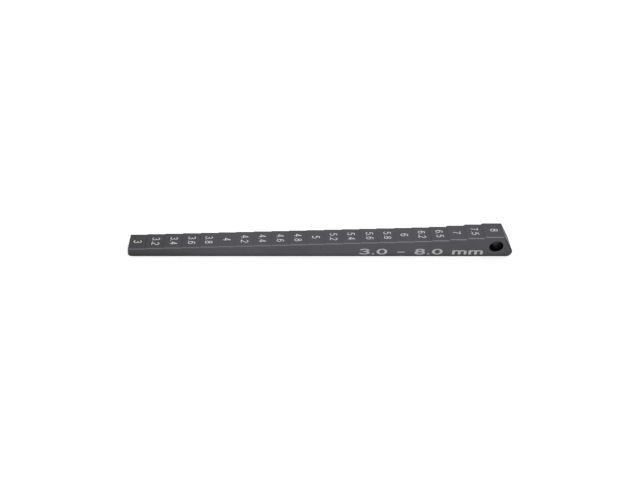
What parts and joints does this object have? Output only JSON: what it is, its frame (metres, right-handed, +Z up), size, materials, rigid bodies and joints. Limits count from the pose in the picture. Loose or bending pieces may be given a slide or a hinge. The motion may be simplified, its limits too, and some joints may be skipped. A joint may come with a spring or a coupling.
{
  "type": "stepped height gauge",
  "caption": "Stepped wedge bar gauge with marked step heights for setting a ride height or a gap, with a hanging hole in its thick end.",
  "frame": {"origin": "on the flat datum face, under the middle of the bar's overall box", "axes": "+X along the bar from the thin end to the thick end, +Y across the bar to the back side, +Z up from the datum face through the steps"},
  "size_m": [0.1194, 0.0068, 0.008],
  "materials": {
    "anodised_body": "satin, anodised dark grey",
    "marking": "matte, light grey laser marking"
  },
  "bodies": {
    "root": {"gauge_bar": "anodised_body"}
  },
  "joints": []
}
